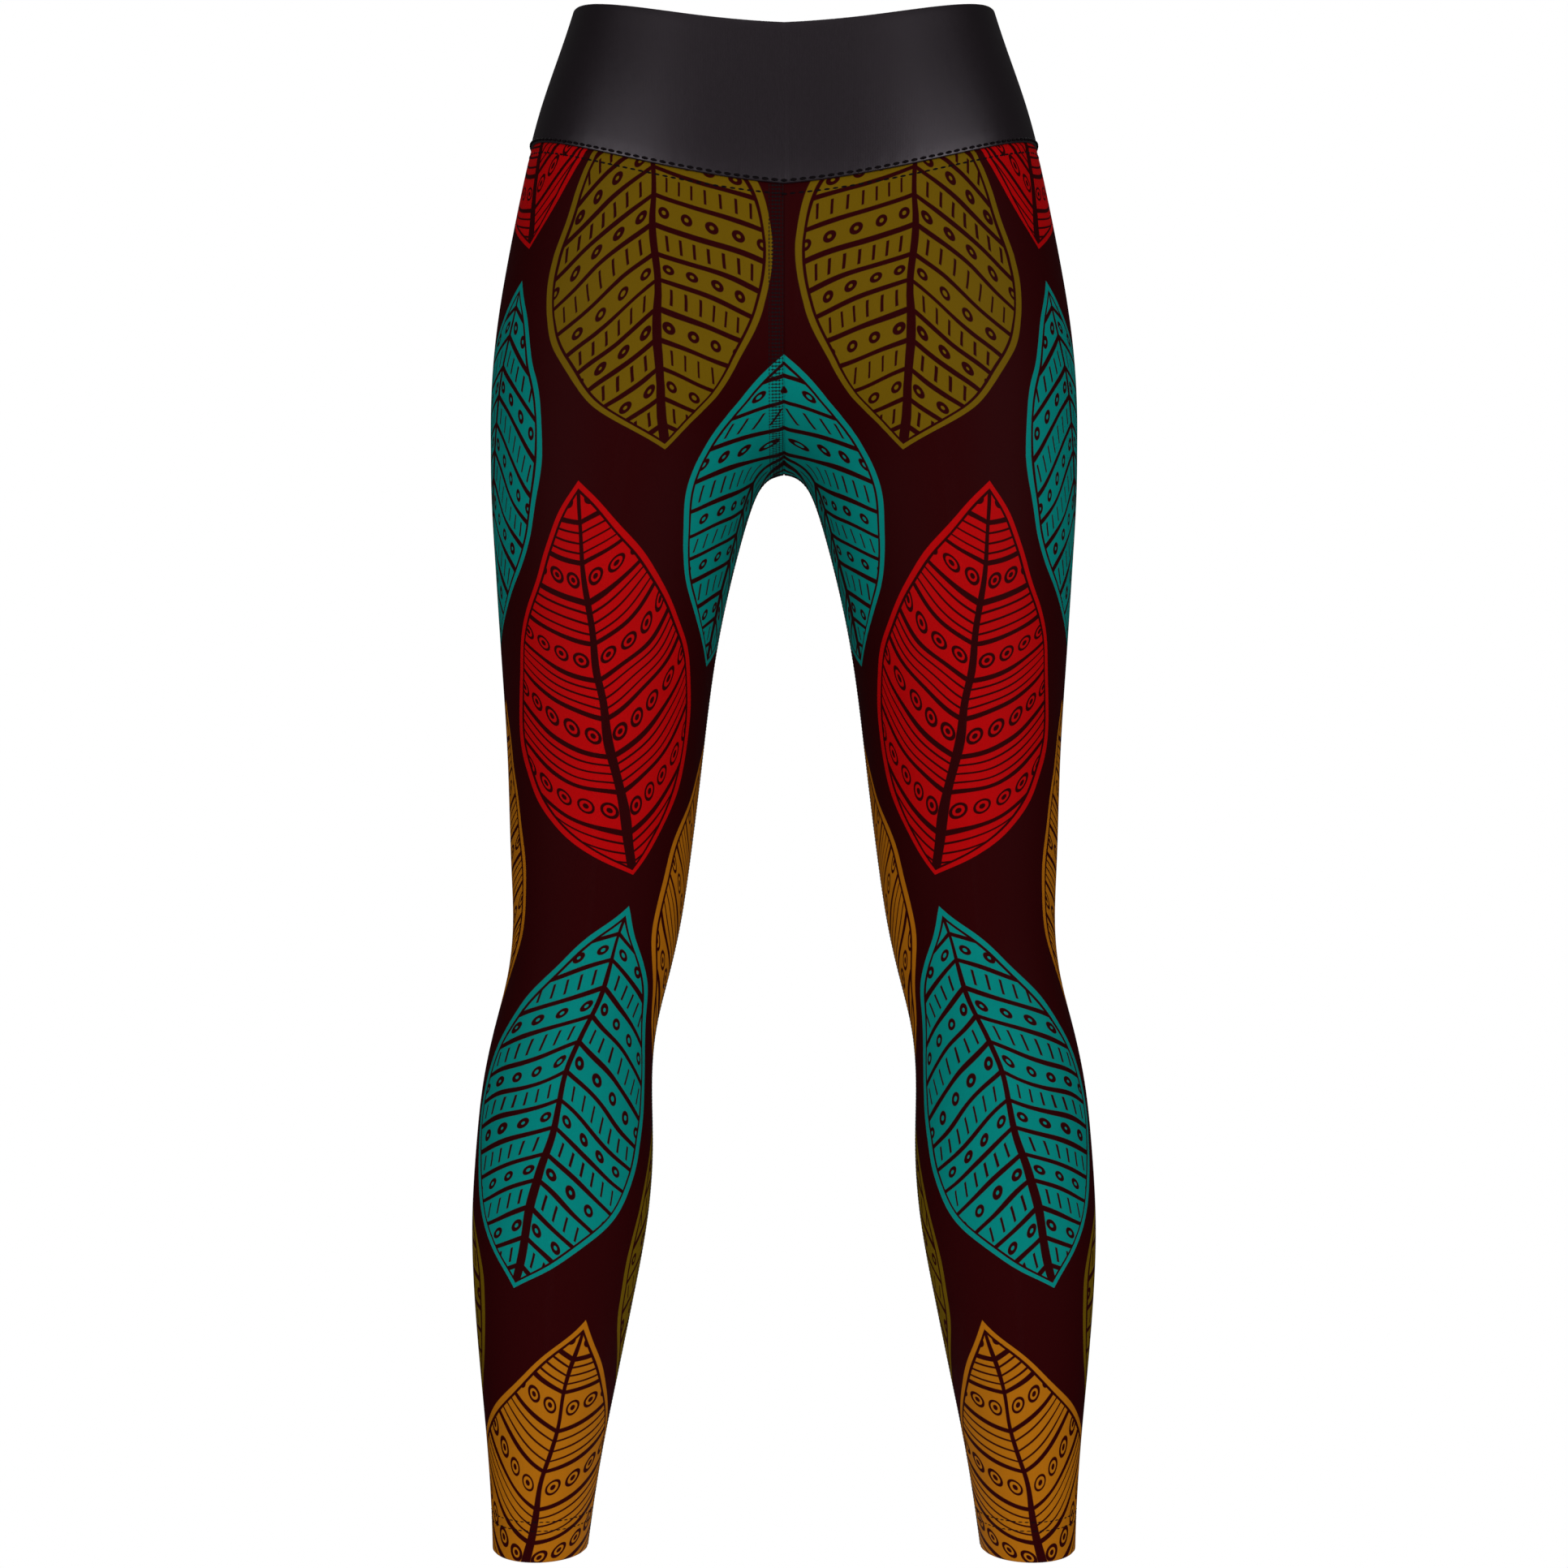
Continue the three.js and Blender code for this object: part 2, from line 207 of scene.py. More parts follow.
# %% Sections of the body
COLUMNS = ("z", "outer", "inner", "centre", "axis", "front", "back", "blend", "square")
SECTIONS = (
    (60, 121.8, -44, 45, -4, -87, 78, 83, 2.1),
    (20, 134.5, -46, 50, -3, -91, 85, 92, 2.1),
    (-20, 148.4, -47, 56, -1, -97, 95, 101, 2.1),
    (-60, 158.8, -46, 63, 1, -102, 106, 113, 2.1),
    (-105, 168.2, -43, 71, 3, -104.5, 116, 126, 2.1),
    (-150, 176, -34, 79, 4, -104, 122.5, 141, 2.08),
    (-190, 179.8, -20, 86, 4, -101.5, 122.8, 146, 2.05),
    (-215, 180.4, -6, 90.5, 3.5, -99.2, 119.3, 124, 2.03),
    (-228, 180.3, 2.2, 92.8, 3, -98, 116, 96, 2.02),
    (-241, 180.2, 10.7, 95, 2.5, -97, 112.5, 64, 2),
    (-265, 179.3, 21, 98.5, 1, -95.5, 106, 46, 2),
    (-290, 177.7, 28.2, 101.5, 0, -94, 100, 44, 2),
    (-345, 173.9, 40.4, 106.5, -3, -90.5, 88, 44, 2),
    (-415, 169.3, 49.8, 110, -5, -83.5, 75, 44, 2),
    (-485, 166.8, 58.4, 113, -7, -74, 62, 44, 2),
    (-520, 166, 63.9, 116, -7, -68.5, 54, 44, 2),
    (-550, 169.5, 70.7, 120.5, -6.5, -64.5, 50, 44, 2),
    (-580, 177.1, 78, 127, -5, -61, 52.5, 44, 2),
    (-615, 184.8, 81.3, 132.5, -1.5, -57, 60, 44, 2),
    (-655, 189.5, 81, 135.5, 2, -52, 66.5, 44, 2),
    (-700, 192.2, 84.3, 138, 4, -47.5, 67.5, 44, 2),
    (-750, 190.8, 93.3, 142, 5, -43.5, 60.5, 44, 2),
    (-800, 186.8, 103.5, 145, 6, -39, 52, 44, 2),
    (-850, 182.4, 113.4, 148, 6, -34, 45, 44, 2),
    (-902, 179.9, 121.2, 150.5, 6, -30.5, 41, 44, 2),
    (-930, 179.6, 125, 152, 6, -29.5, 40, 44, 2),
)

TABLE = np.array(sorted(SECTIONS), float)
LEVELS = TABLE[:, 0]
STEPS = np.diff(LEVELS)


def bends(values):
    """Second derivatives of a smooth curve through the rows, with none at the ends."""
    count = len(LEVELS)
    matrix, load = np.eye(count), np.zeros(count)
    slopes = np.diff(values) / STEPS
    for i in range(1, count - 1):
        matrix[i, i - 1 : i + 2] = STEPS[i - 1], 2 * (STEPS[i - 1] + STEPS[i]), STEPS[i]
        load[i] = 6 * (slopes[i] - slopes[i - 1])
    return np.linalg.solve(matrix, load)


CURVES = {name: (values, bends(values)) for name, values in zip(COLUMNS, TABLE.T)}


def section(z):
    """Every column of the table at the given heights."""
    row = np.clip(np.searchsorted(LEVELS, z) - 1, 0, len(LEVELS) - 2)
    step = STEPS[row]
    up = (z - LEVELS[row]) / step
    down = 1 - up
    found = {}
    for name, (value, bend) in CURVES.items():
        sag = (down**3 - down) * bend[row] + (up**3 - up) * bend[row + 1]
        found[name] = down * value[row] + up * value[row + 1] + sag * step**2 / 6
    return found


# %% [markdown]
# Finding the surface
#
# The surface is found by looking outwards from the middle of a leg. A point inside the body
# counts as negative and one outside as positive, and halving the distance again and again finds
# where the value passes zero, for whole arrays at once.

# %% Find the surface
SEAM_EDGE = 0.03  # how near to the middle plane the cloth of one leg reaches
HALVINGS = 34
TINY = 1e-9


def outside_oval(oval, x, y):
    across, along = x - oval["centre"], y - oval["axis"]
    wide = np.where(across > 0, oval["outer"] - oval["centre"], oval["centre"] - oval["inner"])
    deep = np.where(along < 0, oval["axis"] - oval["front"], oval["back"] - oval["axis"])
    power = oval["square"]
    share = (np.abs(across / wide) ** power + np.abs(along / deep) ** power) ** (1 / power)
    return np.hypot(across, along) * (1 - 1 / np.maximum(share, 1e-6))


def outside_body(oval, x, y):
    near, far = outside_oval(oval, x, y), outside_oval(oval, -x, y)
    melt = np.maximum(1 - np.abs(near - far) / oval["blend"], 0)
    return np.minimum(near, far) - oval["blend"] / 6 * melt**3


def crossing(rising, low, high):
    """Where a rising function passes zero, for whole arrays at once."""
    for _ in range(HALVINGS):
        middle = (low + high) / 2
        below = rising(middle) < 0
        low, high = np.where(below, middle, low), np.where(below, high, middle)
    return (low + high) / 2


def far_away(oval):
    """A length that surely ends outside the body."""
    return 2 * (oval["outer"] + oval["back"] - oval["front"])


def cloth_span(oval):
    """The angles round the left leg's centre at which its cloth begins and ends. Below the
    crotch it goes all the way round."""
    high = far_away(oval)
    joined = outside_body(oval, SEAM_EDGE, oval["axis"]) < 0
    angles = []
    for way in (-1, 1):
        edge = crossing(lambda d: outside_body(oval, SEAM_EDGE, oval["axis"] + way * d), 0, high)
        turn = np.arctan2(edge, oval["centre"] - SEAM_EDGE)
        angles.append(np.where(joined, turn, 0))
    return angles[0], 2 * np.pi - angles[1]


def cloth_point(share, z):
    """The left leg's surface at heights z. share runs from the front edge, or the inseam,
    round the outside to the back edge. Points come back as an array of x, y, z."""
    share, z = np.broadcast_arrays(np.asarray(share, float), np.asarray(z, float))
    oval = section(z)
    first, last = cloth_span(oval)
    angle = first + (last - first) * share
    go_x, go_y = -np.cos(angle), -np.sin(angle)
    high = far_away(oval)
    to_middle = (oval["centre"] - SEAM_EDGE) / np.maximum(-go_x, TINY)
    far = crossing(
        lambda d: outside_body(oval, oval["centre"] + go_x * d, oval["axis"] + go_y * d),
        1,
        np.minimum(np.where(go_x < -TINY, to_middle, high), high),
    )
    x = np.maximum(SEAM_EDGE, oval["centre"] + go_x * far)
    return np.stack([x, oval["axis"] + go_y * far, z], axis=-1)


def side_share(z):
    """The share at which the surface is widest, where the waistband's side seams are."""
    first, last = cloth_span(section(np.asarray(z, float)))
    return (np.pi - first) / (last - first)


def above_crotch(z):
    oval = section(z)
    return -outside_body(oval, SEAM_EDGE, oval["axis"])


CROTCH = float(crossing(above_crotch, -300.0, -180.0))
print("crotch at", round(CROTCH, 1), "mm")

# %% [markdown]
# Waist lines
#
# The waistband's top edge dips towards the middle of the front, and its lower edge comes to a
# blunt point there. Both are heights that depend on how far round the body one is, so they are
# found by trying a height, reading the place there, and correcting it a few times.

# %% Waist lines
BAND_SEAM = {"side": -43.5, "front_drop": 42, "back_drop": 12, "point": 0.33}
BAND_TOP = {"side": 37.2, "front_drop": 27.8, "back_drop": -6.3, "point": 0.2}


def line_height(line, point):
    oval = section(point[..., 2])
    to_side = np.minimum(1, np.abs(point[..., 0]) / oval["outer"])
    drop = np.where(point[..., 1] < oval["axis"], line["front_drop"], line["back_drop"])
    shape = (1 - to_side**2) * (1 - line["point"]) + (1 - to_side) * line["point"]
    return line["side"] - drop * shape


def waist_line(line, share_at):
    """Heights of a waist line. share_at gives the share of the way round at a height."""
    z = share_at(0.0) * 0 + line["side"]
    for _ in range(12):
        z = line_height(line, cloth_point(share_at(z), z))
    return z


SEAM_ENDS = waist_line(BAND_SEAM, lambda z: np.array([0.0, 1.0]))
print("waist seam at the front and the back, in mm:", SEAM_ENDS.round(1))

# %% [markdown]
# Reckoning with nodes
#
# A print is drawn with a good deal of arithmetic, and each sum is one Math node. A small class
# makes a node's output behave as a number in Python, so that a formula can be written in a line
# and still becomes plain nodes.

# %% A number between nodes
class Wire:
    """A node's output, which can be reckoned with as a number."""

    def __init__(self, tree, socket):
        self.tree, self.socket = tree, socket

    def step(self, operation, *others, clamp=False):
        values = dict(enumerate((self,) + others))
        node = add_node(self.tree, "ShaderNodeMath", values, operation=operation, use_clamp=clamp)
        return Wire(self.tree, node.outputs[0])

    def __rsub__(self, other):
        return self.step("MULTIPLY_ADD", -1, other)

    def beyond(self, other):
        """Distance from zero of a point whose other coordinate is given."""
        return (self * self + other * other).step("SQRT")

    def within(self, half, soft=0.4):
        """1 where a distance is under half, 0 where it is over, with a soft edge."""
        return ((half - self) / soft).step("ADD", 0.5, clamp=True)

    def to_nearest(self, pitch):
        """Distance to the nearest whole number of pitches."""
        return (0.5 - abs((self / pitch) % 1 - 0.5)) * pitch


def reckoning(operation):
    return lambda self, *others: self.step(operation, *others)


for name, operation in {
    "__add__": "ADD",
    "__sub__": "SUBTRACT",
    "__mul__": "MULTIPLY",
    "__truediv__": "DIVIDE",
    "__mod__": "FLOORED_MODULO",
    "__abs__": "ABSOLUTE",
    "floor": "FLOOR",
    "above": "GREATER_THAN",
    "most": "MAXIMUM",
}.items():
    setattr(Wire, name, reckoning(operation))


NUMBER, VECTOR, COLOUR = "NodeSocketFloat", "NodeSocketVector", "NodeSocketColor"


def new_group(name, inputs, outputs, sort="ShaderNodeTree"):
    """A group with named sockets. It comes with the sockets it is given and its last node."""
    tree = bpy.data.node_groups.new(name, sort)
    for label, kind, value in inputs:
        socket = tree.interface.new_socket(label, in_out="INPUT", socket_type=kind)
        if value is not None:
            socket.default_value = value
    for label, kind in outputs:
        tree.interface.new_socket(label, in_out="OUTPUT", socket_type=kind)
    return tree, add_node(tree, "NodeGroupInput").outputs, add_node(tree, "NodeGroupOutput")


def mixed(tree, share, first, second):
    """A colour between two colours. A colour is a socket or four numbers."""
    values = {"Factor": share, 6: first, 7: second}
    return add_node(tree, "ShaderNodeMix", values, data_type="RGBA").outputs[2]


def noise(tree, place, scale, detail=2.0):
    values = {"Vector": place, "Scale": scale, "Detail": detail}
    return add_node(tree, "ShaderNodeTexNoise", values).outputs


def separated(tree, socket):
    node = add_node(tree, "ShaderNodeSeparateXYZ", {0: socket})
    return [Wire(tree, output) for output in node.outputs]


def linear(red, green, blue):
    """A shader's colour from the usual 0 to 255 numbers."""
    shares = [value / 255 for value in (red, green, blue)]
    return [s / 12.92 if s < 0.04045 else ((s + 0.055) / 1.055) ** 2.4 for s in shares] + [1.0]


# %% [markdown]
# The jersey's knit
#
# Both cloths are a fine weft knit. Its face shows columns of small V shapes, less than a
# millimetre wide, so at arm's length it is only a soft grain. One group draws it for every
# cloth, from a map in real lengths: its height feeds a bump, and a painted shade of the loops,
# with a heather tone, gives a little colour.

# %% Jersey knit group
def make_jersey_knit():
    inputs = [("Place", VECTOR, None), ("Pitch", NUMBER, 0.7), ("Heather", NUMBER, 0.5)]
    outputs = [("Height", NUMBER), ("Shade", NUMBER)]
    tree, given, end = new_group("jersey_knit", inputs, outputs)
    courses, slant = 1.3, 1.4  # rows of loops in a column's width, and how steep a V is
    wale_relief, strand_relief = 1.2, 0.5
    u, v, _ = separated(tree, given["Place"])
    pitch = Wire(tree, given["Pitch"])
    across = (u * 1000) / pitch
    from_wale = abs(across % 1 - 0.5)
    slanted = (v * 1000) / pitch * courses + from_wale * slant
    strand = abs(slanted % 1 - 0.5) * 2
    height = (0.5 - from_wale) * wale_relief + (1 - strand) * strand_relief
    mottle = Wire(tree, noise(tree, given["Place"], 900.0)["Fac"])
    # Shade is the loops' painted shade, taken from their height, with the yarn's heather tone
    # mixed in.
    shade = height * 0.5 + (mottle - 0.5) * Wire(tree, given["Heather"]) + 0.25
    connect(end, {"Height": height, "Shade": shade})
    return tree


jersey_knit = make_jersey_knit()
print("jersey_knit:", len(jersey_knit.nodes), "nodes")

# %% [markdown]
# The print
#
# The cloth is printed with big leaves in four strong colours on a dark maroon ground. The design
# is a general one: one leaning leaf in each cell of columns that drop by half a cell. The leaves
# of every second row are veined, with ruled lines and rings between the veins. The others have
# chevrons, with dots and short bars between them. All of it follows from a few named sizes in
# millimetres, and a slow noise bends the lines a little, as a brush would.

# %% Print group
LEAF_SIZES = {
    "Column Width": 113,
    "Row Height": 248,
    "Half Length": 117,
    "Half Width": 64,
    "Tilt": 0.2,
    "Sway": 8,
}
LEAF_COLOURS = {
    "Ground": (45, 3, 5),
    "Ochre": (176, 106, 14),
    "Teal": (3, 135, 128),
    "Red": (182, 6, 9),
    "Olive": (110, 85, 7),
}
TIP_TAPER = 0.24  # how much narrower a leaf is towards its tip
EDGE_SLOPE = 0.92  # turns a length across a leaf into one square to its edge
RIM = 4.6  # from a leaf's edge to the line inside it


def leaf_at(tree, given, u, v, column):
    """One column's leaf at a point: how far inside its edge the point is, the place across and
    along it, and the leaf's number in the order of colours."""
    wide, high = Wire(tree, given["Column Width"]), Wire(tree, given["Row Height"])
    lowered = column % 2 * 0.5
    row = (v / high + lowered).floor()
    x = u - column * wide
    y = v - (row + 0.5 - lowered) * high
    lean = 1 - (column + (row / 2).floor()) % 2 * 2
    tilt = Wire(tree, given["Tilt"])
    turn_sin, turn_cos = tilt.step("SINE") * lean, tilt.step("COSINE")
    across, along = x * turn_cos + y * turn_sin, y * turn_cos - x * turn_sin
    t = along / Wire(tree, given["Half Length"])
    width = Wire(tree, given["Half Width"]) * (1 - t * t) * (1 - t * TIP_TAPER)
    return (width - abs(across)) * EDGE_SLOPE, across, along, (row + column * 2) % 4


def nearest_leaf(tree, given):
    """The leaf a point is in, and the weight of the lines there. Leaves of neighbouring columns
    reach past each other, so two columns are tried."""
    bend = noise(tree, given["Place"], 24.0, detail=0.0)["Color"]
    bend_x, bend_y, bend_line = separated(tree, bend)
    sway = Wire(tree, given["Sway"])
    u, v, _ = separated(tree, given["Place"])
    u = u * 1000 + (bend_x - 0.5) * sway
    v = v * 1000 + (bend_y - 0.5) * sway
    place = u / Wire(tree, given["Column Width"])
    column = (place + 0.5).floor()
    beside = column + (place - column).above(0) * 2 - 1
    first, second = leaf_at(tree, given, u, v, column), leaf_at(tree, given, u, v, beside)
    take = second[0].above(first[0])
    chosen = [a + (b - a) * take for a, b in zip(first, second)]
    return chosen + [(bend_line - 0.5) * 0.9 + 1]


def veined_lines(x, y, weight):
    """Lines of a veined leaf: 1 on a line and 0 between the lines."""
    pitch, climb, curl, slope = 23.0, 0.32, 0.0075, 0.9
    first_ring, ring_pitch, ring, dot = 8.0, 12.0, 3.9, 1.6
    out = abs(x)
    rise = y - out * climb - out * out * curl
    vein = (rise.to_nearest(pitch) * slope).within(weight * 1.4)
    ruled_band = (rise / pitch).floor() % 2
    ruled = (rise.to_nearest(pitch / 4) * slope).within(weight * 0.6) * ruled_band
    ring_x = (out - first_ring).to_nearest(ring_pitch)
    ring_y = pitch / 2 - rise.to_nearest(pitch)
    far = ring_x.beyond(ring_y)
    rings = abs(far - ring).within(weight * 0.85).most(far.within(dot)) * (1 - ruled_band)
    midrib = (out + y * 0.01).within(weight * 2.2)
    return vein.most(ruled).most(rings).most(midrib)


def chevron_lines(x, y, weight):
    """Lines of a chevron leaf."""
    pitch, droop, slope = 17.0, 0.6, 0.86
    first_dot, dot_pitch, dot = 6.5, 13.0, 2.2
    bar_pitch, half_bar = 7.5, 0.27
    out = abs(x)
    fall = y + out * droop
    chevron = (fall.to_nearest(pitch) * slope).within(weight * 1.35)
    dotted_band = (fall / pitch).floor() % 2
    middle = pitch / 2 - fall.to_nearest(pitch)
    far = (out - first_dot).to_nearest(dot_pitch).beyond(middle)
    dots = abs(far - dot).within(weight * 1.1) * dotted_band
    bars = out.to_nearest(bar_pitch).within(weight * 0.75) * (1 - dotted_band)
    bars = bars * abs(middle).within(pitch * half_bar)
    midrib = (out + y * 0.008).within(weight * 2)
    return chevron.most(dots).most(bars).most(midrib)


def make_leaf_print():
    inputs = [("Place", VECTOR, None)]
    inputs += [(label, NUMBER, size) for label, size in LEAF_SIZES.items()]
    inputs += [(label, COLOUR, linear(*rgb)) for label, rgb in LEAF_COLOURS.items()]
    tree, given, end = new_group("leaf_print", inputs, [("Colour", COLOUR), ("Ink", NUMBER)])
    edge, x, y, index, weight = nearest_leaf(tree, given)
    chevroned = index % 2
    second = index.above(1.5)
    rim = abs(edge - RIM).within(weight * 0.9)
    veins, chevrons = veined_lines(x, y, weight), chevron_lines(x, y, weight)
    lines = veins * (1 - chevroned) + chevrons * chevroned
    lines = (lines * (RIM - edge).within(0)).most(rim)
    ink = (0 - edge).within(0) * (1 - lines)
    warm = mixed(tree, second, given["Ochre"], given["Red"])
    cool = mixed(tree, second, given["Teal"], given["Olive"])
    leaf = mixed(tree, chevroned, warm, cool)
    connect(end, {"Colour": mixed(tree, ink, given["Ground"], leaf), "Ink": ink})
    return tree


leaf_print = make_leaf_print()
print("leaf_print:", len(leaf_print.nodes), "nodes")

# %% [markdown]
# Materials
#
# The printed jersey has the print on its face and shows a paler grey reverse inside. The
# waistband's jersey is close to black and shines more. The thread is near black too, and a
# little coarser. The sheen of a stretch knit comes from its roughness and its reflections.

# %% Cloth materials
KNIT_BUMP = {"Strength": 0.22, "Distance": 0.0002}


def new_cloth(name, roughness, specular, sheen):
    look = {"Roughness": roughness, "Specular IOR Level": specular}
    return new_material(name, look | {"Sheen Weight": sheen, "Sheen Roughness": 0.4})


def add_knit(tree, shader):
    """Knit grain on a cloth: a bump, and the painted shade of its loops, with heather tone, that
    comes back for the colour.
    """
    place = add_node(tree, "ShaderNodeUVMap", uv_map="print").outputs["UV"]
    knit = add_node(tree, "ShaderNodeGroup", {"Place": place}, node_tree=jersey_knit)
    bump = add_node(tree, "ShaderNodeBump", KNIT_BUMP | {"Height": knit.outputs["Height"]})
    connect(shader, {"Normal": bump.outputs["Normal"]})
    return place, Wire(tree, knit.outputs["Shade"])


def make_printed_jersey():
    paint, tree, shader = new_cloth("printed_jersey", 0.5, 0.025, 0)
    place, shade = add_knit(tree, shader)
    art = add_node(tree, "ShaderNodeGroup", {"Place": place}, node_tree=leaf_print)
    # The print is darkened a little by the knit's painted shade, taken from the height of its
    # loops, and by its heather tone.
    print_with_knit_shade_and_heather = mixed(tree, shade * 0.16, art.outputs["Colour"], linear(14, 4, 5))
    ink = Wire(tree, art.outputs["Ink"])
    connect(shader, {"Base Color": print_with_knit_shade_and_heather, "Roughness": ink * 0.05 + 0.48})
    return paint


def make_plain_jersey(name, light, dark, roughness, specular, sheen, tint=(1, 1, 1, 1)):
    paint, tree, shader = new_cloth(name, roughness, specular, sheen)
    _, shade = add_knit(tree, shader)
    # The knit's painted shade and its heather tone blend the light and the dark colour.
    connect(shader, {"Base Color": mixed(tree, shade, light, dark), "Specular Tint": tint})
    return paint


printed_jersey = make_printed_jersey()
jersey_reverse = make_plain_jersey(
    "jersey_reverse", linear(176, 162, 162), linear(134, 118, 119), 0.7, 0.25, 0.1
)
black_jersey = make_plain_jersey(
    "black_jersey", linear(20, 11, 17), linear(12, 6, 10), 0.34, 0.88, 0, (1, 0.9, 1, 1)
)


def make_thread(name, dark, light):
    paint, tree, shader = new_cloth(name, 0.7, 0.1, 0)
    place = add_node(tree, "ShaderNodeTexCoord").outputs["Object"]
    lint = Wire(tree, noise(tree, place, 1500.0)["Fac"])
    connect(shader, {"Base Color": mixed(tree, lint, dark, light)})
    return paint


black_thread = make_thread("black_thread", linear(7, 4, 6), linear(15, 9, 13))
seam_thread = make_thread("seam_thread", linear(14, 9, 11), linear(27, 20, 23))
print("materials:", ", ".join(bpy.data.materials.keys()))

# %% [markdown]
# Cloth from a grid of points
#
# A worn stretch cloth has no free folds, so it isn't simulated: a simulation would only move it
# off the body's shape. It is built as a wall of quads between an outer and an inner grid, with
# what sewing does to it put in one by one: the cloth rolls in along a seam, and each row of
# stitches presses a shallow groove.

# %% Normals and grooves of a grid
GROOVES = {
    # name: depth, half width
    "leg_seam": (0.8, 1.6),
    "leg_top": (0.7, 1.2),
    "leg_pucker": (0.22, 3),
    "fine_row": (0.35, 1.2),
    "hem_row": (0.3, 1.0),
    "hem_fold": (0.9, 0.5),
    "band_side": (0.7, 1.6),
    "band_edge": (0.6, 0.9),
    "band_pucker": (0.15, 4),
    "bold_row": (0.25, 1.0),
    "front_line": (-0.12, 1.1),  # a pressed line stands out, down the middle of the front
    "rise": (0.6, 1.6),
}
PUCKER = 11  # from one pucker to the next


def grid_normals(rows, loops):
    """Outward directions at every point. The first rows may be loops, whose ends are one point.
    Edges over them lie on the middle plane, and turn to neither side there."""
    across, up = np.gradient(rows, axis=1), np.gradient(rows, axis=0)
    if loops:
        across[:loops, 0] = across[:loops, -1] = rows[:loops, 1] - rows[:loops, -2]
    normals = np.cross(across, up)
    if loops:
        normals[loops - 1 :, [0, -1], 0] = 0
        both = normals[:loops, 0] + normals[:loops, -1]
        normals[:loops, 0] = normals[:loops, -1] = both
    return normals / np.linalg.norm(normals, axis=-1, keepdims=True)


def along_rows(rows):
    """The length along each row up to each point, from its first point."""
    steps = np.linalg.norm(np.diff(rows[..., :2], axis=1), axis=-1)
    return np.pad(np.cumsum(steps, axis=1), ((0, 0), (1, 0)))


def groove(distance, name):
    depth, half_width = GROOVES[name]
    return depth * np.exp(-((distance / half_width) ** 2))


def side_grooves(rows, seam, pucker, from_puckers):
    """Grooves at both ends of every row, and puckers beside the stitches at a height."""
    along = along_rows(rows)
    waves = 0.5 + 0.5 * np.sin(along * 2 * np.pi / PUCKER)
    to_end = np.minimum(along, along[:, -1:] - along)
    return groove(to_end, seam) + groove(from_puckers, pucker) * waves


# %% Build a wall
def cloth_wall(name, layers, loops, print_map, face, reverse, side=1):
    """A closed wall whose layers are grids from the outside in. Only the first and last layers
    cover the cloth, and those between them round its top edge. The first loops rows close
    into rings. side is -1 for the mirrored leg. face and reverse are materials."""
    rows, columns = layers[0].shape[:2]
    points, maps, number = [], [], []
    for k, layer in enumerate(layers):
        whole = k in (0, len(layers) - 1)
        ids = np.full((rows, columns), -1)
        for r in range(0 if whole else rows - 1, rows):
            count = columns - 1 if r < loops else columns
            ids[r, :count] = len(points) + np.arange(count)
            if r < loops:
                ids[r, -1] = ids[r, 0]
            points.extend(layer[r, :count])
            maps.extend(print_map[r, :count])
        number.append(ids)
    faces, slots = [], []

    def add_face(*corners, slot=0):
        """A face whose corners are each named once. It is left out if too few are."""
        corners = [int(corner) for corner in dict.fromkeys(corners)]
        if len(corners) > 2:
            faces.append(corners)
            slots.append(slot)

    out, inn = number[0], number[-1]
    for r in range(rows - 1):
        for c in range(columns - 1):
            add_face(out[r, c], out[r, c + 1], out[r + 1, c + 1], out[r + 1, c])
            add_face(inn[r, c + 1], inn[r, c], inn[r + 1, c], inn[r + 1, c + 1], slot=1)
    for c in range(columns - 1):
        add_face(inn[0, c], inn[0, c + 1], out[0, c + 1], out[0, c])
        for a, b in zip(number, number[1:]):
            add_face(a[-1, c], a[-1, c + 1], b[-1, c + 1], b[-1, c])
    for r in range(max(loops - 1, 0), rows - 1):
        add_face(inn[r, 0], out[r, 0], out[r + 1, 0], inn[r + 1, 0])
        add_face(out[r, -1], inn[r, -1], inn[r + 1, -1], out[r + 1, -1])
    add_face(*(ids[-1, 0] for ids in number))
    add_face(*(ids[-1, -1] for ids in reversed(number)))
    points = np.array(points) * (side * MM, MM, MM)
    if side < 0:
        faces = [corners[::-1] for corners in faces]
    mesh = bpy.data.meshes.new(name)
    mesh.from_pydata(points.tolist(), [], faces)
    mesh.polygons.foreach_set("use_smooth", np.ones(len(faces), bool))
    mesh.polygons.foreach_set("material_index", np.array(slots, np.int32))
    corners = np.empty(len(mesh.loops), np.int32)
    mesh.loops.foreach_get("vertex_index", corners)
    places = (np.array(maps)[corners] * MM).ravel().astype(np.float32)
    mesh.uv_layers.new(name="print").uv.foreach_set("vector", places)
    mesh.materials.append(face)
    mesh.materials.append(reverse)
    mesh.validate()
    print(name, len(mesh.vertices), "points,", len(mesh.polygons), "faces")
    return add_object(name, mesh)


# %% [markdown]
# The legs
#
# Each leg is one panel wrapped round and joined along the inseam, and the two meet at the middle
# of the front and back. Rows crowd together at the crotch, where a leg's tube opens into the
# seat, and columns beside the seams, where the cloth rolls in. The print map is the flat panel,
# round the leg from the line down its front and up it, both in real lengths, so that a motif
# keeps its size all over.

# %% Legs
HEM = -903.5
MID_THIGH = -420
CLOTH = 1.2  # thickness of the jersey as it is drawn
HEM_CLOTH = 2.2  # thickness where the hem is turned up
HEM_DEPTH = 27
HEM_STITCHES = (19.5, 25)  # the two needle rows above the hem's fold
FINE_ROW = 6  # from the waist seam down to the fine row of stitches
CROWDING = 1.75
LEG_AROUND, THIGH_ROWS, SEAT_ROWS = 104, 38, 46
CALF_PITCH = 5.4  # from one row of the calf to the next
TOUCHING = -0.02  # the legs' edges just pass the middle, so that no light comes through


def leg_shares():
    beside_seam = [0, 0.0015, 0.004, 0.009]
    middle = np.linspace(0.016, 0.984, LEG_AROUND)
    return np.concatenate([beside_seam, middle, 1 - np.array(beside_seam[::-1])])


